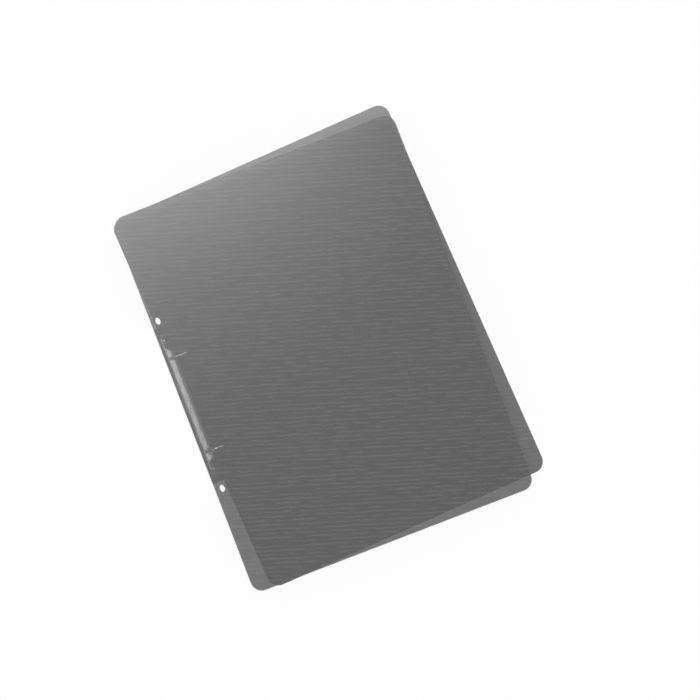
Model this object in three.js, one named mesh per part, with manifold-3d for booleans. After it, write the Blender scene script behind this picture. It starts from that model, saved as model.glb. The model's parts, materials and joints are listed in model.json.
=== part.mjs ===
// Two-ring binder of smoky see-through plastic sheet, closed and lying on its back cover.
// Millimetres, +Z up. X runs from the spine towards the open side, Y along the spine towards the top.
import * as THREE from "three";
import { mergeVertices } from "three/addons/utils/BufferGeometryUtils.js";
import Module from "manifold-3d";

const wasm = await Module();
wasm.setup();

const DEGREE = Math.PI / 180;

// Cover sheets
const COVER_WIDTH = 240;
const COVER_HEIGHT = 320;
const SHEET = 0.8;
const CORNER_RADIUS = 9.4;
const CORNER_STEPS = 10;

// Oval holes beside the spine: in the front cover above and below the mechanism, in the back one above
const HOLE_WIDTH = 4;
const HOLE_LENGTH = 6;
const HOLE_INSET = 5.8;
const HOLE_SPREAD = 71.7;
const BACK_HOLE_WIDTH = 4.4;
const BACK_HOLE_LENGTH = 6.8;
const BACK_HOLE_INSET = 3.1;
const BACK_HOLE_UP = 72.7;
const HOLE_STEPS = 24;

// How the closed binder lies: the back cover is skewed under the front cover
const SKEW = 2.89 * DEGREE;
const BACK_EDGE_X = 6.2;
const BACK_EDGE_Y = -1.6;
const SPINE_RISE = 27;
const SPINE_LEAN = 13 * DEGREE;

// Spine strip, which bridges the covers only behind the mechanism
const STRIP_MARGIN = 5.2;
const STRIP_FLAT = 21;
const STRIP_STATIONS = 12;
const BEND_STEPS = 8;
const BEND_EASE = 0.45;

// Gaps: between pieces that touch, and across a crease
const GAP = 0.3;
const CREASE_GAP = 0.3;

// Arched cover plate of the ring mechanism
const PLATE_LENGTH = 121.6;
const PLATE_WIDTH = 14;
const PLATE_HEIGHT = 5;
const PLATE_SIDE = 1.9;
const PLATE_METAL = 0.7;
const PLATE_DOWN = 14;
const PLATE_END_RADIUS = 6;
const ARCH_STEPS = 16;
const LANDING_LENGTH = 11;
const LANDING_SLOPE = 4;
const LIP_WIDTH = 1.5;
const LIP_HEIGHT = 0.5;

// Pressed dimples in the ridge
const DIMPLE_SPREAD = 30;
const DIMPLE_WIDTH = 4.4;
const DIMPLE_LENGTH = 10;
const DIMPLE_DEPTH = 0.35;

// Spring blades under the arch, one for each half of the rings
const BLADE_METAL = 0.7;
const BLADE_SETBACK = 0.8;
const BLADE_CORNER_RADIUS = 1;
const BLADE_CORNER_STEPS = 4;
const FOOT_CLEARANCE = 0.3;

// Rings
const RING_SPACING = 80;
const RING_INNER = 15;
const RING_WIRE = 2;
const RING_STANDOFF = 8.1;
const RING_FOOT_ANGLE = 138 * DEGREE;
const RING_LAP = 1.4;
const RING_STEPS = 30;
const WIRE_SIDES = 14;

// Rivets through the plate and the strip
const RIVET_INSET = 5.8;
const RIVET_SHANK = 3;
const RIVET_CLEARANCE = 0.15;
const RIVET_HEAD = 6.4;
const RIVET_HEAD_HEIGHT = 1.1;
const RIVET_TAIL = 8;
const RIVET_TAIL_HEIGHT = 0.9;
const RIVET_SEGMENTS = 32;

// Sizes that follow from the ones above
const RING_RADIUS = (RING_INNER + RING_WIRE) / 2;
const PLATE_BASE = GAP;
const PLATE_TOP = PLATE_BASE + PLATE_HEIGHT;
const LANDING_TOP = PLATE_BASE + PLATE_METAL;
const PLATE_INSIDE = PLATE_WIDTH / 2 - PLATE_METAL;
const BLADE_BASE = PLATE_BASE + LIP_HEIGHT + GAP;
const BLADE_EDGE = PLATE_INSIDE - GAP;
const RIVET_SPREAD = PLATE_LENGTH / 2 - RIVET_INSET;
const STRIP_LENGTH = PLATE_LENGTH + 2 * STRIP_MARGIN;
const ARCH_HALF_LENGTH = PLATE_LENGTH / 2 - LANDING_LENGTH - LANDING_SLOPE;
const BLADE_HALF_LENGTH = ARCH_HALF_LENGTH - BLADE_SETBACK;
const FOOT_REACH = RING_RADIUS * Math.sin(RING_FOOT_ANGLE) - RING_WIRE / 2;

const POLYPROPYLENE = new THREE.MeshStandardMaterial({
  color: 0x6b6c6c,
  roughness: 0.4,
  metalness: 0,
  transparent: true,
  opacity: 0.76,
});
const NICKEL_PLATE = new THREE.MeshStandardMaterial({ color: 0xc6c7c8, roughness: 0.25, metalness: 1 });

function solidOf(geometry) {
  const bare = geometry.clone();
  bare.deleteAttribute("normal");
  bare.deleteAttribute("uv");
  const merged = mergeVertices(bare, 1e-4);
  return new wasm.Manifold(
    new wasm.Mesh({
      numProp: 3,
      vertProperties: new Float32Array(merged.getAttribute("position").array),
      triVerts: new Uint32Array(merged.index.array),
    }),
  );
}

function geometryOf(solid) {
  const { vertProperties, triVerts } = solid.getMesh();
  const geometry = new THREE.BufferGeometry();
  geometry.setAttribute("position", new THREE.BufferAttribute(vertProperties, 3));
  geometry.setIndex(new THREE.BufferAttribute(triVerts, 1));
  geometry.computeVertexNormals();
  return geometry;
}

function named(name, geometry, material) {
  const mesh = new THREE.Mesh(geometry, material);
  mesh.name = name;
  return mesh;
}

function box(low, high) {
  const size = high.map((value, axis) => value - low[axis]);
  const middle = high.map((value, axis) => (value + low[axis]) / 2);
  return solidOf(new THREE.BoxGeometry(...size).translate(...middle));
}

// Extrudes an outline drawn in two of the three directions along the third one, centred on it
function extrudeAlong(shape, length, direction) {
  const geometry = new THREE.ExtrudeGeometry(shape, { depth: length, bevelEnabled: false });
  geometry.translate(0, 0, -length / 2);
  const turn = new THREE.Matrix4();
  if (direction === "x") {
    // The outline's first coordinate is Y and its second is Z
    turn.set(0, 0, 1, 0, 1, 0, 0, 0, 0, 1, 0, 0, 0, 0, 0, 1);
  }
  if (direction === "y") {
    // The outline's first coordinate is X and its second is Z
    turn.set(1, 0, 0, 0, 0, 0, -1, 0, 0, 1, 0, 0, 0, 0, 0, 1);
  }
  return geometry.applyMatrix4(turn);
}

function roundedRectangle(left, right, low, high, radius, steps) {
  const corners = [
    [right - radius, low + radius, -90],
    [right - radius, high - radius, 0],
    [left + radius, high - radius, 90],
    [left + radius, low + radius, 180],
  ];
  const points = [];
  for (const [x, y, start] of corners) {
    for (let step = 0; step <= steps; step += 1) {
      const angle = (start + (90 * step) / steps) * DEGREE;
      points.push(new THREE.Vector2(x + radius * Math.cos(angle), y + radius * Math.sin(angle)));
    }
  }
  return new THREE.Shape(points);
}

function oval(x, y, width, length) {
  const points = [];
  for (let step = 0; step < HOLE_STEPS; step += 1) {
    const angle = (-2 * Math.PI * step) / HOLE_STEPS;
    points.push(new THREE.Vector2(x + (width / 2) * Math.cos(angle), y + (length / 2) * Math.sin(angle)));
  }
  return new THREE.Path(points);
}

// Cover sheet with its crease edge on X = 0, its middle on Y = 0 and its underside on Z = 0
function coverSheet(holes) {
  const outline = roundedRectangle(
    0,
    COVER_WIDTH,
    -COVER_HEIGHT / 2,
    COVER_HEIGHT / 2,
    CORNER_RADIUS,
    CORNER_STEPS,
  );
  outline.holes.push(...holes);
  return new THREE.ExtrudeGeometry(outline, { depth: SHEET, bevelEnabled: false });
}

function backCover() {
  const holes = [oval(BACK_HOLE_INSET, BACK_HOLE_UP, BACK_HOLE_WIDTH, BACK_HOLE_LENGTH)];
  return named("back_cover", coverSheet(holes), POLYPROPYLENE);
}

function frontCover() {
  const holes = [-HOLE_SPREAD, HOLE_SPREAD].map((y) => oval(HOLE_INSET, y, HOLE_WIDTH, HOLE_LENGTH));
  return named("front_cover", coverSheet(holes), POLYPROPYLENE);
}

// X of the back cover's crease edge at a height Y along the spine
function backEdgeAt(y) {
  return BACK_EDGE_X - (y - BACK_EDGE_Y) * Math.tan(SKEW);
}

// Outer face of the strip at one place along the spine: straight from the upper crease, then eased
// over to the back cover's skewed edge. Each point also has its slope, for the sheet's thickness.
function stripSection(y) {
  const top = new THREE.Vector2(0, SPINE_RISE - CREASE_GAP / 2);
  const down = new THREE.Vector2(Math.sin(SPINE_LEAN), -Math.cos(SPINE_LEAN));
  const knee = top.clone().addScaledVector(down, STRIP_FLAT);
  const foot = new THREE.Vector2(backEdgeAt(y), SHEET + CREASE_GAP);
  const ease = knee.clone().addScaledVector(down, BEND_EASE * knee.distanceTo(foot));
  const bend = new THREE.QuadraticBezierCurve(knee, ease, foot);
  const section = [{ point: top, slope: down }];
  for (let step = 0; step <= BEND_STEPS; step += 1) {
    const t = step / BEND_STEPS;
    section.push({ point: bend.getPoint(t), slope: bend.getTangent(t) });
  }
  return section;
}

// Sheet of one thickness between stacked sections: outer face, inner face, and the four cut edges
function stripSolid() {
  const loops = [];
  for (let station = 0; station <= STRIP_STATIONS; station += 1) {
    const y = STRIP_LENGTH * (station / STRIP_STATIONS - 0.5);
    const section = stripSection(y);
    const outer = section.map(({ point }) => [point.x, y, point.y]);
    const inner = section.map(({ point, slope }) => {
      const across = SHEET / (-slope.y / slope.length());
      return [point.x + across, y, point.y];
    });
    loops.push([...outer, ...inner.reverse()]);
  }
  const count = loops[0].length;
  const positions = loops.flat(2);
  const index = [];
  for (let station = 0; station < STRIP_STATIONS; station += 1) {
    for (let k = 0; k < count; k += 1) {
      const a = station * count + k;
      const b = station * count + ((k + 1) % count);
      index.push(a, a + count, b, b, a + count, b + count);
    }
  }
  const last = STRIP_STATIONS * count;
  for (let k = 0; k < count / 2 - 1; k += 1) {
    const far = count - 1 - k;
    index.push(k, k + 1, far, k + 1, far - 1, far);
    index.push(last + k, last + far, last + k + 1, last + k + 1, last + far, last + far - 1);
  }
  const geometry = new THREE.BufferGeometry();
  geometry.setAttribute("position", new THREE.Float32BufferAttribute(positions, 3));
  geometry.setIndex(index);
  return solidOf(geometry);
}

// Turns the mechanism's frame (X down the spine, Z out of its inner face) into the binder's
function seatOnSpine(object) {
  const reach = PLATE_DOWN;
  const across = SHEET / Math.cos(SPINE_LEAN);
  object.position.set(
    reach * Math.sin(SPINE_LEAN) + across,
    0,
    SPINE_RISE - CREASE_GAP / 2 - reach * Math.cos(SPINE_LEAN),
  );
  object.rotation.y = Math.PI / 2 - SPINE_LEAN;
  object.updateMatrix();
  return object;
}

function rivetBore(y) {
  const radius = RIVET_SHANK / 2 + RIVET_CLEARANCE;
  const depth = 4 * (SHEET + PLATE_METAL + GAP);
  return solidOf(new THREE.CylinderGeometry(radius, radius, depth, RIVET_SEGMENTS).rotateX(90 * DEGREE))
    .translate([0, y, 0]);
}

function spineStrip() {
  const seat = seatOnSpine(new THREE.Object3D()).matrix;
  let strip = stripSolid();
  for (const y of [-RIVET_SPREAD, RIVET_SPREAD]) {
    strip = strip.subtract(solidOf(geometryOf(rivetBore(y)).applyMatrix4(seat)));
  }
  return named("spine_strip", geometryOf(strip), POLYPROPYLENE);
}

// Section across the plate: straight sides and an arched top, drawn in X and Z
function archSection(halfWidth, base, side, top) {
  const rise = top - side;
  const radius = (halfWidth ** 2 + rise ** 2) / (2 * rise);
  const half = Math.asin(halfWidth / radius);
  const points = [new THREE.Vector2(-halfWidth, base), new THREE.Vector2(halfWidth, base)];
  for (let step = 0; step <= ARCH_STEPS; step += 1) {
    const angle = half - (2 * half * step) / ARCH_STEPS;
    points.push(new THREE.Vector2(radius * Math.sin(angle), top - radius + radius * Math.cos(angle)));
  }
  return new THREE.Shape(points);
}

// Section along the plate: flat landings for the rivets and a raised middle, drawn in Y and Z
function sideSection(halfLength, landing, base, low, top) {
  const foot = PLATE_LENGTH / 2 - landing;
  const shoulder = foot - LANDING_SLOPE;
  return new THREE.Shape([
    new THREE.Vector2(-halfLength, base),
    new THREE.Vector2(halfLength, base),
    new THREE.Vector2(halfLength, low),
    new THREE.Vector2(foot, low),
    new THREE.Vector2(shoulder, top),
    new THREE.Vector2(-shoulder, top),
    new THREE.Vector2(-foot, low),
    new THREE.Vector2(-halfLength, low),
  ]);
}

function pressedShape() {
  const shift = 1.5 * PLATE_METAL;
  const tall = 4 * PLATE_HEIGHT;
  const outline = roundedRectangle(
    -PLATE_WIDTH / 2,
    PLATE_WIDTH / 2,
    -PLATE_LENGTH / 2,
    PLATE_LENGTH / 2,
    PLATE_END_RADIUS,
    CORNER_STEPS,
  );
  const outerArch = archSection(PLATE_WIDTH / 2, PLATE_BASE, PLATE_BASE + PLATE_SIDE, PLATE_TOP);
  const outerSide = sideSection(PLATE_LENGTH / 2 + 1, LANDING_LENGTH, PLATE_BASE, LANDING_TOP, PLATE_TOP);
  const outer = solidOf(extrudeAlong(outerArch, PLATE_LENGTH + 2, "y"))
    .intersect(solidOf(extrudeAlong(outline, tall, "z")))
    .intersect(solidOf(extrudeAlong(outerSide, PLATE_WIDTH + 2, "x")));
  const innerArch = archSection(
    PLATE_INSIDE,
    PLATE_BASE - PLATE_METAL,
    PLATE_BASE + PLATE_SIDE,
    PLATE_TOP - PLATE_METAL,
  );
  const innerFoot = PLATE_LENGTH / 2 - LANDING_LENGTH - shift;
  const innerSide = sideSection(
    innerFoot,
    LANDING_LENGTH + shift,
    PLATE_BASE - PLATE_METAL,
    LANDING_TOP,
    PLATE_TOP,
  );
  const inner = solidOf(extrudeAlong(innerArch, PLATE_LENGTH, "y"))
    .intersect(solidOf(extrudeAlong(innerSide, PLATE_WIDTH, "x")));
  return outer.subtract(inner);
}

function ringSlot(side, y) {
  const near = BLADE_EDGE - GAP - RING_WIRE / 4;
  const far = PLATE_WIDTH / 2 + 1;
  const half = RING_WIRE / 2 + FOOT_CLEARANCE;
  const low = PLATE_BASE + LIP_HEIGHT + GAP / 2;
  const edges = [side * near, side * far].sort((a, b) => a - b);
  return box([edges[0], y - half, low], [edges[1], y + half, PLATE_TOP + 1]);
}

function coverPlate() {
  let plate = pressedShape();
  for (const side of [-1, 1]) {
    const edges = [side * (PLATE_WIDTH / 2 - LIP_WIDTH), side * (PLATE_WIDTH / 2)].sort((a, b) => a - b);
    plate = plate.add(
      box(
        [edges[0], -ARCH_HALF_LENGTH, PLATE_BASE],
        [edges[1], ARCH_HALF_LENGTH, PLATE_BASE + LIP_HEIGHT],
      ),
    );
    for (const y of [-RING_SPACING / 2, RING_SPACING / 2]) {
      plate = plate.subtract(ringSlot(side, y));
    }
  }
  for (const y of [-RIVET_SPREAD, RIVET_SPREAD]) {
    plate = plate.subtract(rivetBore(y));
  }
  for (const y of [-DIMPLE_SPREAD, DIMPLE_SPREAD]) {
    const dimple = new THREE.SphereGeometry(1, 20, 12)
      .scale(DIMPLE_WIDTH / 2, DIMPLE_LENGTH / 2, DIMPLE_DEPTH)
      .translate(0, y, PLATE_TOP);
    plate = plate.subtract(solidOf(dimple));
  }
  return named("cover_plate", geometryOf(plate), NICKEL_PLATE);
}

// Flat blade with a notch at its outer edge for each ring's foot; side is -1 above, 1 below
function blade(name, side) {
  const half = RING_WIRE / 2 + FOOT_CLEARANCE;
  let solid = solidOf(
    extrudeAlong(
      roundedRectangle(
        GAP / 2,
        BLADE_EDGE,
        -BLADE_HALF_LENGTH,
        BLADE_HALF_LENGTH,
        BLADE_CORNER_RADIUS,
        BLADE_CORNER_STEPS,
      ),
      BLADE_METAL,
      "z",
    ).translate(0, 0, BLADE_BASE + BLADE_METAL / 2),
  );
  for (const y of [-RING_SPACING / 2, RING_SPACING / 2]) {
    const notch = box(
      [FOOT_REACH - FOOT_CLEARANCE, y - half, 0],
      [PLATE_WIDTH, y + half, PLATE_TOP],
    );
    solid = solid.subtract(notch);
  }
  if (side < 0) {
    solid = solid.rotate([0, 0, 180]);
  }
  return named(name, geometryOf(solid), NICKEL_PLATE);
}

class RingArc extends THREE.Curve {
  constructor(side, start, end) {
    super();
    this.side = side;
    this.start = start;
    this.end = end;
  }

  getPoint(t) {
    const angle = this.start + (this.end - this.start) * t;
    return new THREE.Vector3(
      this.side * RING_RADIUS * Math.sin(angle),
      0,
      RING_STANDOFF + RING_RADIUS * Math.cos(angle),
    );
  }
}

function ringArcSolid(side, start) {
  const section = [];
  for (let step = 0; step < WIRE_SIDES; step += 1) {
    const angle = (2 * Math.PI * step) / WIRE_SIDES;
    section.push(new THREE.Vector2((RING_WIRE / 2) * Math.cos(angle), (RING_WIRE / 2) * Math.sin(angle)));
  }
  return solidOf(
    new THREE.ExtrudeGeometry(new THREE.Shape(section), {
      steps: RING_STEPS,
      extrudePath: new RingArc(side, start, RING_FOOT_ANGLE),
    }),
  );
}

// The upper half ends in a tongue on the outside of the wire, which laps over the lower half's end
function halfRing(name, side) {
  const crown = RING_STANDOFF + RING_RADIUS;
  const thick = RING_WIRE;
  let solid;
  if (side < 0) {
    const cut = box([-GAP / 2, -thick, crown - thick], [thick + RING_LAP, thick, crown + GAP / 2]);
    solid = ringArcSolid(side, -RING_LAP / RING_RADIUS).subtract(cut);
  } else {
    const cut = box([-thick, -thick, crown - GAP / 2], [RING_LAP + GAP, thick, crown + thick]);
    solid = ringArcSolid(side, GAP / 2 / RING_RADIUS).subtract(cut);
  }
  return named(name, geometryOf(solid), NICKEL_PLATE);
}

function rivet(name, y) {
  const head = LANDING_TOP + GAP;
  const tail = -SHEET - GAP;
  const shank = RIVET_SHANK / 2;
  const profile = [
    [0, tail - RIVET_TAIL_HEIGHT],
    [RIVET_TAIL * 0.32, tail - RIVET_TAIL_HEIGHT],
    [RIVET_TAIL * 0.46, tail - RIVET_TAIL_HEIGHT * 0.7],
    [RIVET_TAIL / 2, tail - RIVET_TAIL_HEIGHT * 0.3],
    [RIVET_TAIL / 2, tail],
    [shank, tail],
    [shank, head],
    [RIVET_HEAD / 2, head],
    [RIVET_HEAD / 2, head + RIVET_HEAD_HEIGHT * 0.25],
    [RIVET_HEAD * 0.42, head + RIVET_HEAD_HEIGHT * 0.65],
    [RIVET_HEAD * 0.24, head + RIVET_HEAD_HEIGHT * 0.95],
    [0, head + RIVET_HEAD_HEIGHT],
  ];
  const points = profile.map(([radius, height]) => new THREE.Vector2(radius, height));
  const geometry = new THREE.LatheGeometry(points, RIVET_SEGMENTS).rotateX(90 * DEGREE);
  const mesh = named(name, geometry, NICKEL_PLATE);
  mesh.position.y = y;
  return mesh;
}

function mechanism() {
  const group = seatOnSpine(new THREE.Group());
  group.add(coverPlate());
  group.add(blade("blade_upper", -1));
  group.add(blade("blade_lower", 1));
  for (const [place, y] of [["top", RING_SPACING / 2], ["bottom", -RING_SPACING / 2]]) {
    const upper = halfRing(`ring_${place}_upper_half`, -1);
    const lower = halfRing(`ring_${place}_lower_half`, 1);
    upper.position.y = y;
    lower.position.y = y;
    group.add(upper, lower);
  }
  group.add(rivet("rivet_top", RIVET_SPREAD));
  group.add(rivet("rivet_bottom", -RIVET_SPREAD));
  return group;
}

// Half the room that a rounded rectangle takes along X and Y when it is turned
function turnedReach(width, height, radius, angle) {
  const flatX = width / 2 - radius;
  const flatY = height / 2 - radius;
  return [
    flatX * Math.cos(angle) + flatY * Math.sin(angle) + radius,
    flatX * Math.sin(angle) + flatY * Math.cos(angle) + radius,
  ];
}

// Middle of the closed binder seen from above, in the front cover's frame
function planMiddle() {
  const [reachX, reachY] = turnedReach(COVER_WIDTH, COVER_HEIGHT, CORNER_RADIUS, SKEW);
  const backX = BACK_EDGE_X + (COVER_WIDTH / 2) * Math.cos(SKEW);
  const backY = BACK_EDGE_Y + (COVER_WIDTH / 2) * Math.sin(SKEW);
  const left = Math.min(0, backX - reachX);
  const right = Math.max(COVER_WIDTH, backX + reachX);
  const low = Math.min(-COVER_HEIGHT / 2, backY - reachY);
  const high = Math.max(COVER_HEIGHT / 2, backY + reachY);
  return [(left + right) / 2, (low + high) / 2];
}

const [middleX, middleY] = planMiddle();
const binder = new THREE.Group();
binder.position.set(-middleX, -middleY, 0);

const back = backCover();
back.position.set(BACK_EDGE_X, BACK_EDGE_Y, 0);
back.rotation.z = SKEW;

const front = frontCover();
front.position.set(0, 0, SPINE_RISE + CREASE_GAP / 2);

binder.add(back, spineStrip(), front, mechanism());

export default binder;
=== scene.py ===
import json
import math
import bpy
from mathutils import Matrix, Vector


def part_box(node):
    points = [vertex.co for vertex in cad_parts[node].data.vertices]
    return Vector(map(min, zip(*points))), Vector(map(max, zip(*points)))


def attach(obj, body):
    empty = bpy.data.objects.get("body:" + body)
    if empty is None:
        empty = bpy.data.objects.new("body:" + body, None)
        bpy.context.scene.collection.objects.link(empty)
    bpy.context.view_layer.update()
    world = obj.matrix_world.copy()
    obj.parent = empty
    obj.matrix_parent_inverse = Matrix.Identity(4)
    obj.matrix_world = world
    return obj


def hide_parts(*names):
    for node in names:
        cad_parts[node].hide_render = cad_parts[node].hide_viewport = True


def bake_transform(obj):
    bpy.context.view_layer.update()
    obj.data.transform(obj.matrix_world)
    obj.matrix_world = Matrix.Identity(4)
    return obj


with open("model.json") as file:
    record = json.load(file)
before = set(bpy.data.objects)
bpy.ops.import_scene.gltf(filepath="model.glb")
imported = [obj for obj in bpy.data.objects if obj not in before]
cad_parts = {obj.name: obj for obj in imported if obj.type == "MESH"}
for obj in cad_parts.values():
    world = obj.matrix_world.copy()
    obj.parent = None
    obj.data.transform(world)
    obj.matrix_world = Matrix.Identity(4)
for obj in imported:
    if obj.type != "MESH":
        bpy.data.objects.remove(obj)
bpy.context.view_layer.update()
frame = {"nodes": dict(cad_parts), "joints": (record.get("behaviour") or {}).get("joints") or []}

joints = {joint["name"]: joint for joint in frame["joints"]}
bpy.ops.object.select_all(action="DESELECT")

# The camera looks straight down, as over a copy stand, and is turned so that the spine leans to the
# right in the picture. There is no perspective in the photograph, so it is an orthographic camera.
PICTURE_TURN = math.radians(-21.03)
PICTURE_WIDTH = 0.56
PICTURE_MIDDLE = Vector((0.01485, -0.00955, 0.9))

bpy.ops.object.camera_add(location=PICTURE_MIDDLE, rotation=(0.0, 0.0, PICTURE_TURN))
camera = bpy.context.object
camera.name = "copy_stand_camera"
camera.data.type = "ORTHO"
camera.data.ortho_scale = PICTURE_WIDTH
bpy.context.scene.camera = camera
bpy.context.scene.view_settings.view_transform = "Standard"

# The table is a matt white paper sweep. It is a little brighter to the camera than its light makes it,
# as the blown-out white in the photograph is, and it still takes the binder's shadow.
TABLE_SIZE = 6.0
TABLE_DROP = 0.0002
PAPER_WHITE = "#f6f6f6"
PAPER_GLOW = 0.03


def linear(hex_colour):
    """sRGB hex colour as linear red, green, blue and full alpha."""
    channels = [int(hex_colour[k:k + 2], 16) / 255 for k in (1, 3, 5)]
    steps = [c / 12.92 if c <= 0.04045 else ((c + 0.055) / 1.055) ** 2.4 for c in channels]
    return (*steps, 1.0)


def add_node(tree, kind, settings=None, **links):
    """Adds a node to a material: its settings by name, its inputs as numbers or as (node, output)."""
    node = tree.nodes.new(kind)
    for key, value in (settings or {}).items():
        setattr(node, key, value)
    for key, value in links.items():
        socket = node.inputs[int(key[1:])] if key[1:].isdigit() else node.inputs[key.replace("_", " ")]
        if isinstance(value, tuple) and isinstance(value[0], bpy.types.Node):
            tree.links.new(value[0].outputs[value[1]], socket)
        else:
            socket.default_value = value
    return node


def new_material(name):
    material = bpy.data.materials.new(name)
    material.use_nodes = True
    material.node_tree.nodes.clear()
    return material


bpy.ops.mesh.primitive_plane_add(size=TABLE_SIZE, location=(0.0, 0.0, -TABLE_DROP))
table = bpy.context.object
table.name = "paper_sweep"
paper = new_material("matt_white_paper")
tree = paper.node_tree
path = add_node(tree, "ShaderNodeLightPath")
seen = add_node(
    tree, "ShaderNodeMath", {"operation": "MAXIMUM"},
    _0=(path, "Is Camera Ray"), _1=(path, "Is Glossy Ray"),
)
seen = add_node(
    tree, "ShaderNodeMath", {"operation": "MAXIMUM"},
    _0=(seen, 0), _1=(path, "Is Transmission Ray"),
)
glow = add_node(tree, "ShaderNodeMath", {"operation": "MULTIPLY"}, _0=(seen, 0), _1=PAPER_GLOW)
matt = add_node(tree, "ShaderNodeBsdfDiffuse", Color=linear(PAPER_WHITE))
lit = add_node(tree, "ShaderNodeEmission", Color=linear(PAPER_WHITE), Strength=(glow, 0))
both = add_node(tree, "ShaderNodeAddShader", _0=(matt, 0), _1=(lit, 0))
add_node(tree, "ShaderNodeOutputMaterial", Surface=(both, 0))
table.data.materials.append(paper)

# The studio: an even pale room, a broad light straight overhead, whose shadows fall under the sheets, a
# long soft box past the covers' upper left corner, whose reflection is the sheen on them, and a tall one
# over the right side, flagged off the plastic, that only picks out the bright metal between the covers.
ROOM_WHITE = "#ffffff"
ROOM_STRENGTH = 0.10
OVERHEAD_STRENGTH = 2.98
OVERHEAD_ANGLE = math.radians(3.0)
SHEEN_BOX_PLACE = (-0.19, 0.2355, 0.53)
SHEEN_BOX_SIZE = (0.54, 0.08)
SHEEN_WATTS = 5.8
METAL_BOX_PLACE = (0.21, 0.03, 0.46)
METAL_BOX_SIZE = (0.50, 1.20)
METAL_WATTS = 17.0

world = bpy.data.worlds.new("pale_room")
world.use_nodes = True
bpy.context.scene.world = world
tree = world.node_tree
path = add_node(tree, "ShaderNodeLightPath")
diffuse_share = add_node(
    tree, "ShaderNodeMath", {"operation": "MULTIPLY"}, _0=(path, "Is Diffuse Ray"), _1=1.0 - ROOM_STRENGTH,
)
room_level = add_node(tree, "ShaderNodeMath", {"operation": "SUBTRACT"}, _0=1.0, _1=(diffuse_share, 0))
tree.links.new(room_level.outputs[0], tree.nodes["Background"].inputs["Strength"])
tree.nodes["Background"].inputs["Color"].default_value = linear(ROOM_WHITE)


def soft_box(name, place, size, watts, aim):
    """A rectangular soft box that aims at a point. It only shows in glossy surfaces."""
    bpy.ops.object.light_add(type="AREA", location=place)
    lamp = bpy.context.object
    lamp.name = name
    lamp.data.shape = "RECTANGLE"
    lamp.data.size = size[0]
    lamp.data.size_y = size[1]
    lamp.data.energy = watts
    lamp.rotation_euler = (Vector(aim) - Vector(place)).to_track_quat("-Z", "Y").to_euler()
    lamp.visible_diffuse = False
    return lamp


bpy.ops.object.light_add(type="SUN", location=(0.0, 0.0, 1.0))
overhead = bpy.context.object
overhead.name = "overhead_light"
overhead.data.energy = OVERHEAD_STRENGTH
overhead.data.angle = OVERHEAD_ANGLE
overhead.visible_glossy = False
soft_box("sheen_soft_box", SHEEN_BOX_PLACE, SHEEN_BOX_SIZE, SHEEN_WATTS, (*SHEEN_BOX_PLACE[:2], 0.0))
metal_box = soft_box(
    "metal_soft_box", METAL_BOX_PLACE, METAL_BOX_SIZE, METAL_WATTS, joints["front_crease"]["pos_m"],
)
bright_metal = bpy.data.collections.new("bright_metal")
metal_box.light_linking.receiver_collection = bright_metal

# The back cover lies on the table. It is cut from extruded polypropylene sheet, smoky and see-through,
# with fine drawn lines and a grain from the rollers. Along its top edge it is made more see-through, so
# that the lit table shows through brighter there: painted light, standing in for light falling on that
# strip. The die leaves a slightly rounded, denser-looking cut edge.
SHEET = 0.0008
COVER_WIDTH = 0.240
COVER_HEIGHT = 0.320
CORNER_RADIUS = 0.0094
CORNER_SEGMENTS = 14
CUT_EDGE = 0.00045
EDGE_ROUND = 0.00016
EDGE_ANGLE = math.radians(60)
PUNCH_SIDES = 40
FLAT_FACE = 0.9
SMOKE = "#606060"
SMOKE_STREAK = "#717171"
SMOKE_EDGE = "#5a5a5a"
SHEET_ALPHA = 0.525
# Painted light: in a band along the back cover's top edge the sheet is made more see-through, so that the
# white table lights that strip up.
PAINTED_LIGHT_ALPHA = 0.40
PAINTED_LIGHT_FADE = 0.030
PAINTED_LIGHT_BAND = 0.014
EDGE_ALPHA = 0.80
STREAK_SPACING = 0.0034
STREAK_LENGTH = 0.0110
STREAK_TURN = math.radians(18.0)
STREAK_WANDER = 1.6
STREAK_FROM = 0.60
BREAK_FROM = 0.28
BREAK_TO = 0.56
BAND_PERIOD = 2 * math.pi / 20
GRAIN = 0.0004
SOFT_GLOSS = (0.38, 0.42)
RIPPLE = 0.014
RIPPLE_STRENGTH = 0.10
RIPPLE_DEPTH = 0.0002
PLASTIC_IOR = 1.49


def select_only(piece):
    bpy.ops.object.select_all(action="DESELECT")
    piece.select_set(True)
    bpy.context.view_layer.objects.active = piece


def finish(piece, kind, **settings):
    """Adds a modifier with its settings and applies it."""
    select_only(piece)
    modifier = piece.modifiers.new(kind.title(), kind)
    for key, value in settings.items():
        setattr(modifier, key, value)
    bpy.ops.object.modifier_apply(modifier=modifier.name)


def settle(piece, place):
    """Puts a finished mesh where it belongs, and leaves its object at the origin."""
    piece.data.transform(place)
    piece.matrix_world = Matrix.Identity(4)


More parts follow.
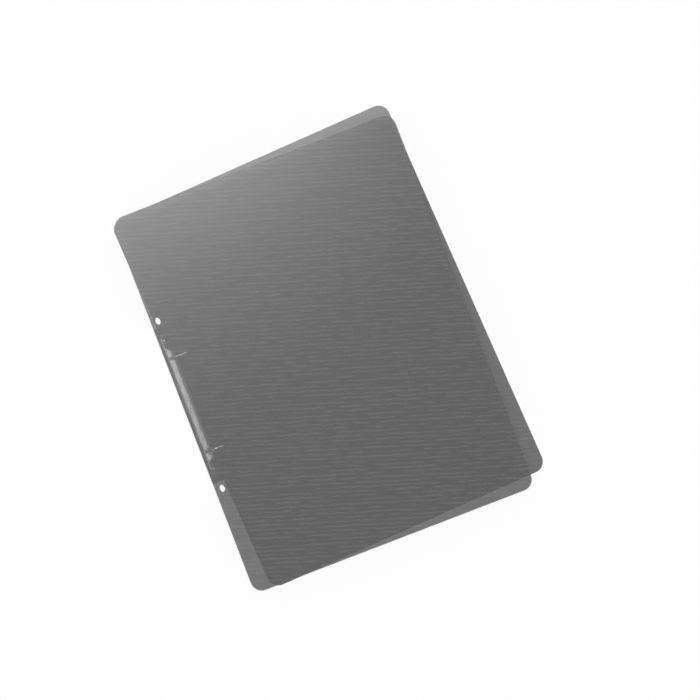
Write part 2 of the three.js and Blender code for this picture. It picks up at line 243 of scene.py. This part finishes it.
def polypropylene(name, body, streak, alpha, sheet_turn, painted_light_from=None):
    """Extruded polypropylene sheet: see-through, with a soft gloss that spreads a lamp into a broad sheen.
    Past the height its last argument gives, measured up the turned sheet, it is made more see-through:
    painted light, a lighter band standing in for light falling there."""
    material = new_material(name)
    tree = material.node_tree
    place = add_node(tree, "ShaderNodeTexCoord")
    turned = add_node(
        tree, "ShaderNodeMapping", Vector=(place, "Object"), Rotation=(0.0, 0.0, STREAK_TURN - sheet_turn),
    )
    # The rollers draw faint parallel lines, which come and go. The wave texture repeats each BAND_PERIOD.
    ruled = add_node(
        tree, "ShaderNodeMapping", Vector=(turned, 0),
        Scale=(1 / STREAK_LENGTH, BAND_PERIOD / STREAK_SPACING, 1.0),
    )
    lines = add_node(
        tree, "ShaderNodeTexWave", {"wave_type": "BANDS", "bands_direction": "Y"},
        Vector=(ruled, 0), Scale=1.0, Distortion=STREAK_WANDER, Detail=1.0,
    )
    thin_lines = add_node(
        tree, "ShaderNodeMapRange", {"interpolation_type": "SMOOTHSTEP"},
        Value=(lines, "Fac"), From_Min=STREAK_FROM, From_Max=1.0,
    )
    drawn = add_node(
        tree, "ShaderNodeMapping", Vector=(turned, 0), Scale=(1 / STREAK_LENGTH, 1 / STREAK_SPACING, 1.0),
    )
    breaks = add_node(tree, "ShaderNodeTexNoise", Vector=(drawn, 0), Scale=1.0, Detail=0.0)
    lengths = add_node(
        tree, "ShaderNodeMapRange", {"interpolation_type": "SMOOTHSTEP"},
        Value=(breaks, "Fac"), From_Min=BREAK_FROM, From_Max=BREAK_TO,
    )
    marks = add_node(tree, "ShaderNodeMath", {"operation": "MULTIPLY"}, _0=(thin_lines, 0), _1=(lengths, 0))
    colour = add_node(
        tree, "ShaderNodeMix", {"data_type": "RGBA"},
        _0=(marks, 0), _6=linear(body), _7=linear(streak),
    )
    # The real grain is too fine to show, so it is drawn coarser. The sheet is a little wavy, too.
    grain = add_node(
        tree, "ShaderNodeTexNoise", Vector=(place, "Object"), Scale=1 / GRAIN, Detail=3.0, Roughness=0.6,
    )
    sheen = add_node(
        tree, "ShaderNodeMapRange", Value=(grain, "Fac"), To_Min=SOFT_GLOSS[0], To_Max=SOFT_GLOSS[1],
    )
    ripple = add_node(tree, "ShaderNodeTexNoise", Vector=(place, "Object"), Scale=1 / RIPPLE, Detail=1.0)
    raised = add_node(
        tree, "ShaderNodeBump", Strength=RIPPLE_STRENGTH, Distance=RIPPLE_DEPTH, Height=(ripple, "Fac"),
    )
    # Painted light: alpha eases down towards the top edge, so the lit table shows through brighter there.
    if painted_light_from is not None:
        squared = add_node(
            tree, "ShaderNodeMapping", Vector=(place, "Object"), Rotation=(0.0, 0.0, -sheet_turn),
        )
        along = add_node(tree, "ShaderNodeSeparateXYZ", Vector=(squared, 0))
        painted_light_ramp = add_node(
            tree, "ShaderNodeMapRange", {"interpolation_type": "SMOOTHSTEP"}, Value=(along, "Y"),
            From_Min=painted_light_from, From_Max=painted_light_from + PAINTED_LIGHT_FADE, To_Min=alpha, To_Max=PAINTED_LIGHT_ALPHA,
        )
        alpha = (painted_light_ramp, 0)
    surface = add_node(
        tree, "ShaderNodeBsdfPrincipled",
        Base_Color=(colour, 2), Roughness=(sheen, 0), IOR=PLASTIC_IOR, Alpha=alpha, Normal=(raised, 0),
    )
    add_node(tree, "ShaderNodeOutputMaterial", Surface=(surface, 0))
    return material


def cover_sheet(name, holes):
    """A cover flat on Z = 0 with its crease edge along X = 0, and with oval holes (x, y, width, length)."""
    bpy.ops.mesh.primitive_plane_add(size=1.0, location=(COVER_WIDTH / 2, 0.0, 0.0))
    sheet = bpy.context.object
    sheet.name = name
    sheet.scale = (COVER_WIDTH, COVER_HEIGHT, 1.0)
    bpy.ops.object.transform_apply(location=True, scale=True)
    bpy.ops.object.mode_set(mode="EDIT")
    bpy.ops.mesh.select_all(action="SELECT")
    bpy.ops.mesh.bevel(affect="VERTICES", offset=CORNER_RADIUS, segments=CORNER_SEGMENTS)
    bpy.ops.mesh.select_all(action="SELECT")
    bpy.ops.mesh.extrude_region_move(TRANSFORM_OT_translate={"value": (0.0, 0.0, SHEET)})
    bpy.ops.mesh.select_all(action="SELECT")
    bpy.ops.mesh.normals_make_consistent(inside=False)
    bpy.ops.object.mode_set(mode="OBJECT")
    for x, y, width, length in holes:
        bpy.ops.mesh.primitive_cylinder_add(
            vertices=PUNCH_SIDES, radius=0.5, depth=4 * SHEET, location=(x, y, 0.0),
        )
        punch = bpy.context.object
        punch.scale = (width, length, 1.0)
        finish(sheet, "BOOLEAN", operation="DIFFERENCE", object=punch, solver="EXACT")
        bpy.data.objects.remove(punch)
    select_only(sheet)
    bpy.ops.object.mode_set(mode="EDIT")
    bpy.ops.mesh.select_all(action="DESELECT")
    bpy.ops.object.mode_set(mode="OBJECT")
    for face in sheet.data.polygons:
        face.select = abs(face.normal.z) > FLAT_FACE
        face.material_index = 1
    bpy.ops.object.mode_set(mode="EDIT")
    bpy.ops.mesh.inset(thickness=CUT_EDGE)
    bpy.ops.object.mode_set(mode="OBJECT")
    for face in sheet.data.polygons:
        if face.select:
            face.material_index = 0
    finish(
        sheet, "BEVEL", width=EDGE_ROUND, segments=2, limit_method="ANGLE",
        angle_limit=EDGE_ANGLE, material=1,
    )
    return sheet


BACK_HOLE = (0.0031, 0.0727, 0.0044, 0.0068)
back_axis = Vector(joints["back_crease"]["axis"])
skew = math.atan2(back_axis.x, -back_axis.y)
back_edge = Vector(joints["back_crease"]["pos_m"])
back_edge.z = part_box("back_cover")[0].z

back_cover = cover_sheet("back_cover_sheet", [BACK_HOLE])
settle(back_cover, Matrix.Translation(back_edge) @ Matrix.Rotation(skew, 4, "Z"))
edge_up_sheet = (Matrix.Rotation(-skew, 3, "Z") @ back_edge).y
# Where the painted lighter band along the back cover's top edge begins, measured up the turned sheet.
painted_light_from = edge_up_sheet + COVER_HEIGHT / 2 - PAINTED_LIGHT_BAND - PAINTED_LIGHT_FADE
back_cover.data.materials.append(
    polypropylene("smoky_polypropylene_back", SMOKE, SMOKE_STREAK, SHEET_ALPHA, skew, painted_light_from)
)
back_cover.data.materials.append(polypropylene("cut_edge_back", SMOKE_EDGE, SMOKE_EDGE, EDGE_ALPHA, skew))
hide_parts("back_cover")
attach(back_cover, "back")

# The front cover is cut with the same die, and lies over the rings. It has an oval hole above and one
# below the ring mechanism, close to the crease.
front_edge = Vector(joints["front_crease"]["pos_m"])
front_edge.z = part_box("front_cover")[0].z
HOLE_INSET = 0.0058
HOLE_SPREAD = 0.0717
HOLE_WIDTH = 0.004
HOLE_LENGTH = 0.006

front_cover = cover_sheet(
    "front_cover_sheet",
    [(HOLE_INSET, side * HOLE_SPREAD, HOLE_WIDTH, HOLE_LENGTH) for side in (-1, 1)],
)
settle(front_cover, Matrix.Translation(front_edge))
front_cover.data.materials.append(
    polypropylene("smoky_polypropylene_front", SMOKE, SMOKE_STREAK, SHEET_ALPHA, 0.0)
)
front_cover.data.materials.append(polypropylene("cut_edge_front", SMOKE_EDGE, SMOKE_EDGE, EDGE_ALPHA, 0.0))
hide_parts("front_cover")
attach(front_cover, "front")

# The spine strip is the same sheet. It drops from the front cover's crease in one flat stretch, which
# carries the mechanism, and eases over to the back cover's skewed crease.
STRIP_LENGTH = 0.132
STRIP_FLAT = 0.021
SPINE_LEAN = math.radians(13.0)
BEND_EASE = 0.45
CREASE_GAP = 0.0003
STRIP_ALONG = 66
STRIP_DOWN = 40
STRIP_BEND = 0.6
SPINE_ALPHA = 0.42
STRIP_SMOOTH = math.radians(35)

crease = Vector(joints["front_crease"]["pos_m"])
strip_top = crease.z - CREASE_GAP / 2
strip_foot = SHEET + CREASE_GAP
down = Vector((math.sin(SPINE_LEAN), 0.0, -math.cos(SPINE_LEAN)))


def strip_point(along, share):
    """Outer face of the strip: how far along the spine, and what share of the way down, 0 to 1."""
    top = Vector((crease.x, crease.y + along, strip_top))
    foot_x = back_edge.x - (top.y - back_edge.y) * math.tan(skew)
    knee = top + down * STRIP_FLAT
    foot = Vector((foot_x, top.y, strip_foot))
    if share < STRIP_BEND:
        return top.lerp(knee, share / STRIP_BEND)
    t = (share - STRIP_BEND) / (1 - STRIP_BEND)
    ease = knee + down * (BEND_EASE * (foot - knee).length)
    return knee.lerp(ease, t).lerp(ease.lerp(foot, t), t)


bpy.ops.mesh.primitive_grid_add(x_subdivisions=STRIP_DOWN, y_subdivisions=STRIP_ALONG, size=1.0)
strip = bpy.context.object
strip.name = "spine_strip_sheet"
for vertex in strip.data.vertices:
    vertex.co = strip_point(vertex.co.y * STRIP_LENGTH, vertex.co.x + 0.5)
bpy.ops.object.mode_set(mode="EDIT")
bpy.ops.mesh.select_all(action="SELECT")
bpy.ops.mesh.normals_make_consistent(inside=False)
bpy.ops.object.mode_set(mode="OBJECT")
if strip.data.polygons[0].normal.x > 0:
    strip.data.flip_normals()
finish(strip, "SOLIDIFY", thickness=SHEET, offset=-1.0)
finish(strip, "BEVEL", width=EDGE_ROUND, segments=2, limit_method="ANGLE", angle_limit=EDGE_ANGLE)
bpy.ops.object.shade_smooth_by_angle(angle=STRIP_SMOOTH)
strip.data.materials.append(
    polypropylene("smoky_polypropylene_spine", SMOKE, SMOKE_STREAK, SPINE_ALPHA, 0.0)
)
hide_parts("spine_strip")
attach(strip, "spine")

# The creases are living hinges: the sheet is rolled thin along a line, so that it folds there for years,
# and the squeezed plastic turns a little pale and dense. Each is a thin web that sits in the gap between
# its panels.
WEB_PALE = "#909090"
WEB_ALPHA = 0.75
WEB_WIDTH = 0.0006
WEB_MARGIN = 0.0010
WEB_CUTS = 6
WEB_WAIST = 0.55
WEB_FLARE = 1.8
WEB_SMOOTH = math.radians(50)
web_plastic = polypropylene("creased_polypropylene", WEB_PALE, WEB_PALE, WEB_ALPHA, 0.0)


def crease_web(name, low, turn):
    """A web in a crease's gap, above the point low in the crease's middle, turned with its edge."""
    bpy.ops.mesh.primitive_cube_add(size=1.0)
    web = bpy.context.object
    web.name = name
    web.scale = (WEB_WIDTH, STRIP_LENGTH - 2 * WEB_MARGIN, CREASE_GAP)
    bpy.ops.object.transform_apply(scale=True)
    bpy.ops.object.mode_set(mode="EDIT")
    bpy.ops.mesh.select_all(action="SELECT")
    bpy.ops.mesh.subdivide(number_cuts=WEB_CUTS)
    bpy.ops.object.mode_set(mode="OBJECT")
    for vertex in web.data.vertices:
        height = vertex.co.z / CREASE_GAP
        vertex.co.x *= WEB_WAIST + WEB_FLARE * height * height
    bpy.ops.object.shade_smooth_by_angle(angle=WEB_SMOOTH)
    settle(web, Matrix.Translation(low) @ Matrix.Rotation(turn, 4, "Z") @ Matrix.Translation(
        (WEB_WIDTH / 2 + EDGE_ROUND, 0.0, CREASE_GAP / 2)
    ))
    web.data.materials.append(web_plastic)
    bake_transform(web)


foot_middle = strip_point(0.0, 1.0)
crease_web("front_crease_web", Vector((crease.x, crease.y, strip_top)), 0.0)
crease_web("back_crease_web", Vector((foot_middle.x, foot_middle.y, SHEET)), skew)

# The mechanism stands on the strip's inner face. In its own frame X points down the spine, Y along it
# and Z straight out of the face, and this turns that frame into the binder's.
PLATE_DOWN = 0.014
seat_across = SHEET / math.cos(SPINE_LEAN)
seat_place = Vector((
    crease.x + PLATE_DOWN * math.sin(SPINE_LEAN) + seat_across,
    crease.y,
    strip_top - PLATE_DOWN * math.cos(SPINE_LEAN),
))
seat = Matrix.Translation(seat_place) @ Matrix.Rotation(math.pi / 2 - SPINE_LEAN, 4, "Y")

# The cover plate is pressed from thin steel strip and nickel plated: an arch with a flat landing for a
# rivet at each end, two pressed dimples, and a slot in each side for each ring.
GAP = 0.0003
PLATE_LENGTH = 0.1216
PLATE_WIDTH = 0.014
PLATE_HEIGHT = 0.005
PLATE_METAL = 0.0007
END_RADIUS = 0.006
LANDING = 0.011
LANDING_SLOPE = 0.004
LANDING_POWER = 4.0
ARCH_POWER = 2.1
DIMPLE_SPREAD = 0.030
DIMPLE_LENGTH = 0.0032
DIMPLE_WIDTH = 0.0018
DIMPLE_DEPTH = 0.00045
RING_SPACING = 0.080
RING_WIRE = 0.002
SLOT_OUT = 0.0067
SLOT_RISE = 0.0041
SLOT_DEPTH = 0.0030
SLOT_HEIGHT = 0.0060
PLATE_TRIM = 0.0001
PLATE_WALL = 0.8 * PLATE_METAL
PLATE_ACROSS = 32
PLATE_ALONG = 210
NICKEL = "#dddcd9"
NICKEL_DULL = "#c9c8c6"
SCUFF = 0.0016
SCUFF_DRAW = 0.15
POLISHED = 0.7
HAZY = 1.5
PLATE_ROUGH = 0.40
METAL_SMOOTH = math.radians(40)


def nickel(name, rough):
    """Bright nickel plate on drawn or pressed steel: nearly a mirror, with a faint uneven haze."""
    material = new_material(name)
    tree = material.node_tree
    place = add_node(tree, "ShaderNodeTexCoord")
    drawn = add_node(
        tree, "ShaderNodeMapping", Vector=(place, "Object"),
        Scale=(1 / SCUFF, SCUFF_DRAW / SCUFF, 1 / SCUFF),
    )
    haze = add_node(tree, "ShaderNodeTexNoise", Vector=(drawn, 0), Scale=1.0, Detail=4.0, Roughness=0.6)
    polish = add_node(
        tree, "ShaderNodeMapRange", Value=(haze, "Fac"), To_Min=rough * POLISHED, To_Max=rough * HAZY,
    )
    colour = add_node(
        tree, "ShaderNodeMix", {"data_type": "RGBA"},
        _0=(haze, "Fac"), _6=linear(NICKEL_DULL), _7=linear(NICKEL),
    )
    surface = add_node(
        tree, "ShaderNodeBsdfPrincipled", Base_Color=(colour, 2), Metallic=1.0, Roughness=(polish, 0),
    )
    add_node(tree, "ShaderNodeOutputMaterial", Surface=(surface, 0))
    return material


def smooth_step(value):
    t = min(max(value, 0.0), 1.0)
    return t * t * (3 - 2 * t)


def plate_point(across, along):
    """Top face of the plate. across runs from -1 to 1, and along is the distance from the middle. Its
    section is a superellipse, nearly square on the landings and rounder on the arch."""
    end = PLATE_LENGTH / 2
    past = max(abs(along) - (end - END_RADIUS), 0.0)
    half = PLATE_WIDTH / 2 - END_RADIUS + math.sqrt(max(END_RADIUS ** 2 - past ** 2, 0.0))
    arch = smooth_step((end - LANDING - abs(along)) / LANDING_SLOPE)
    height = PLATE_METAL + (PLATE_HEIGHT - PLATE_METAL) * arch
    power = LANDING_POWER + (ARCH_POWER - LANDING_POWER) * arch
    angle = across * math.pi / 2
    x = half * math.copysign(abs(math.sin(angle)) ** (2 / power), across) if across else 0.0
    z = height * max(math.cos(angle), 0.0) ** (2 / power)
    dimple = math.exp(-((abs(along) - DIMPLE_SPREAD) / DIMPLE_LENGTH) ** 4 - (x / DIMPLE_WIDTH) ** 4)
    return Vector((x, along, GAP + z - DIMPLE_DEPTH * dimple))


nickel_plate = nickel("nickel_plated_plate", PLATE_ROUGH)
bpy.ops.mesh.primitive_grid_add(x_subdivisions=PLATE_ACROSS, y_subdivisions=PLATE_ALONG, size=1.0)
plate = bpy.context.object
plate.name = "arched_cover_plate"
for vertex in plate.data.vertices:
    vertex.co = plate_point(2 * vertex.co.x, vertex.co.y * (PLATE_LENGTH - PLATE_TRIM))
if plate.data.polygons[len(plate.data.polygons) // 2].normal.z < 0:
    plate.data.flip_normals()
finish(plate, "SOLIDIFY", thickness=PLATE_WALL, offset=-1.0)
for side in (-1, 1):
    for y in (-RING_SPACING / 2, RING_SPACING / 2):
        bpy.ops.mesh.primitive_cube_add(size=1.0, location=(side * SLOT_OUT, y, SLOT_RISE))
        slot_cutter = bpy.context.object
        slot_cutter.scale = (SLOT_DEPTH, RING_WIRE + 2 * GAP, SLOT_HEIGHT)
        finish(plate, "BOOLEAN", operation="DIFFERENCE", object=slot_cutter, solver="EXACT")
        bpy.data.objects.remove(slot_cutter)
select_only(plate)
bpy.ops.object.shade_smooth_by_angle(angle=METAL_SMOOTH)
settle(plate, seat)
plate.data.materials.append(nickel_plate)
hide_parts("cover_plate")
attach(plate, "spine")
bright_metal.objects.link(plate)

# Two spring blades lie edge to edge under the arch. Each carries one half of both rings, and they snap
# over centre to open and shut them. They are sheared from spring steel and plated.
BLADE_ROUGH = 0.30
blade_steel = nickel("plated_spring_steel", BLADE_ROUGH)
for blade_name in ("blade_upper", "blade_lower"):
    blade = frame["nodes"][blade_name]
    blade.data.materials.clear()
    blade.data.materials.append(blade_steel)
    bright_metal.objects.link(blade)

# Each ring is two bent halves of plated steel wire. The upper half ends in a tongue that laps over the
# lower one's end, so that holes don't catch as sheets are turned.
RING_INNER = 0.015
RING_STANDOFF = 0.0081
RING_FOOT = math.radians(138.0)
RING_LAP = 0.0014
RING_STEPS = 64
WIRE_SIDES = 24
WIRE_EDGE = 0.00015
WIRE_EDGE_ANGLE = math.radians(50)
LAP_CUTTER = 0.004
WIRE_ROUGH = 0.24
MERGE = 1e-6
ring_radius = (RING_INNER + RING_WIRE) / 2
ring_wire_finish = nickel("nickel_plated_wire", WIRE_ROUGH)


def half_ring(name, side, start):
    """Half a ring in the mechanism's frame, from its tip to its foot. side is -1 above and 1 below."""
    middle = Vector((0.0, 0.0, RING_STANDOFF))
    bpy.ops.mesh.primitive_circle_add(
        vertices=WIRE_SIDES, radius=RING_WIRE / 2, fill_type="NGON",
        location=middle + Vector((0.0, 0.0, ring_radius)), rotation=(0.0, math.pi / 2, 0.0),
    )
    ring = bpy.context.object
    ring.name = name
    bpy.ops.object.transform_apply(location=True, rotation=True)
    ring.data.transform(
        Matrix.Translation(middle) @ Matrix.Rotation(side * start, 4, "Y") @ Matrix.Translation(-middle)
    )
    bpy.ops.object.mode_set(mode="EDIT")
    bpy.ops.mesh.select_all(action="SELECT")
    bpy.ops.mesh.spin(
        steps=RING_STEPS, angle=-side * (RING_FOOT - start),
        center=middle, axis=(0.0, 1.0, 0.0), use_auto_merge=False,
    )
    bpy.ops.mesh.select_all(action="SELECT")
    bpy.ops.mesh.remove_doubles(threshold=MERGE)
    bpy.ops.mesh.normals_make_consistent(inside=False)
    bpy.ops.object.mode_set(mode="OBJECT")
    return ring


for place_name, y in (("top", RING_SPACING / 2), ("bottom", -RING_SPACING / 2)):
    for half_name, side in (("upper", -1), ("lower", 1)):
        start = -RING_LAP / ring_radius if side < 0 else GAP / 2 / ring_radius
        ring = half_ring(f"ring_{place_name}_{half_name}_wire", side, start)
        crown = RING_STANDOFF + ring_radius
        bpy.ops.mesh.primitive_cube_add(size=1.0)
        lap_cutter = bpy.context.object
        if side < 0:
            lap_cutter.location = (LAP_CUTTER / 2 - GAP / 2, 0.0, crown - LAP_CUTTER / 2 + GAP / 2)
        else:
            lap_cutter.location = (RING_LAP + GAP - LAP_CUTTER / 2, 0.0, crown + LAP_CUTTER / 2 - GAP / 2)
        lap_cutter.scale = (LAP_CUTTER, LAP_CUTTER, LAP_CUTTER)
        finish(ring, "BOOLEAN", operation="DIFFERENCE", object=lap_cutter, solver="EXACT")
        bpy.data.objects.remove(lap_cutter)
        finish(
            ring, "BEVEL", width=WIRE_EDGE, segments=2, limit_method="ANGLE",
            angle_limit=WIRE_EDGE_ANGLE,
        )
        bpy.ops.object.shade_smooth_by_angle(angle=METAL_SMOOTH)
        settle(ring, seat @ Matrix.Translation((0.0, y, 0.0)))
        ring.data.materials.append(ring_wire_finish)
        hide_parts(f"ring_{place_name}_{half_name}_half")
        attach(ring, f"rings_{half_name}")
        bright_metal.objects.link(ring)

# A plated steel rivet at each end goes through the plate and the strip: a domed head inside, and a
# broad set tail on the outside of the spine, so that it doesn't pull through the plastic.
RIVET_INSET = 0.0058
RIVET_SHANK = 0.0015
RIVET_HEAD = 0.0032
RIVET_HEAD_HEIGHT = 0.0011
RIVET_TAIL = 0.004
RIVET_TAIL_HEIGHT = 0.0009
TAIL_FLAT = 0.62
TAIL_STEPS = 8
DOME_STEPS = 12
RIVET_SIDES = 48
RIVET_ROUGH = 0.26
rivet_finish = nickel("nickel_plated_rivet", RIVET_ROUGH)


def rivet_outline():
    """Half section of the rivet, from the middle of its tail to the middle of its domed head."""
    tail = -SHEET - GAP
    head = GAP + PLATE_METAL + GAP
    points = [(0.0, tail - RIVET_TAIL_HEIGHT)]
    for step in range(TAIL_STEPS + 1):
        angle = math.radians(90 * step / TAIL_STEPS)
        points.append((
            RIVET_TAIL * (TAIL_FLAT + (1 - TAIL_FLAT) * math.sin(angle)),
            tail - RIVET_TAIL_HEIGHT * math.cos(angle),
        ))
    points += [(RIVET_SHANK, tail), (RIVET_SHANK, head), (RIVET_HEAD, head)]
    for step in range(1, DOME_STEPS + 1):
        angle = math.radians(90 * step / DOME_STEPS)
        points.append((RIVET_HEAD * math.cos(angle), head + RIVET_HEAD_HEIGHT * math.sin(angle)))
    return points


def rivet(name):
    outline = rivet_outline()
    mesh = bpy.data.meshes.new(name)
    mesh.from_pydata([(r, 0.0, z) for r, z in outline], [(k, k + 1) for k in range(len(outline) - 1)], [])
    piece = bpy.data.objects.new(name, mesh)
    bpy.context.collection.objects.link(piece)
    select_only(piece)
    bpy.ops.object.mode_set(mode="EDIT")
    bpy.ops.mesh.select_all(action="SELECT")
    bpy.ops.mesh.spin(steps=RIVET_SIDES, angle=2 * math.pi, center=(0.0, 0.0, 0.0), axis=(0.0, 0.0, 1.0))
    bpy.ops.mesh.select_all(action="SELECT")
    bpy.ops.mesh.remove_doubles(threshold=MERGE)
    bpy.ops.mesh.normals_make_consistent(inside=False)
    bpy.ops.object.mode_set(mode="OBJECT")
    bpy.ops.object.shade_smooth_by_angle(angle=METAL_SMOOTH)
    return piece


for place_name, side in (("top", 1), ("bottom", -1)):
    piece = rivet(f"rivet_{place_name}_formed")
    settle(piece, seat @ Matrix.Translation((0.0, side * (PLATE_LENGTH / 2 - RIVET_INSET), 0.0)))
    piece.data.materials.append(rivet_finish)
    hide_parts(f"rivet_{place_name}")
    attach(piece, "spine")
    bright_metal.objects.link(piece)
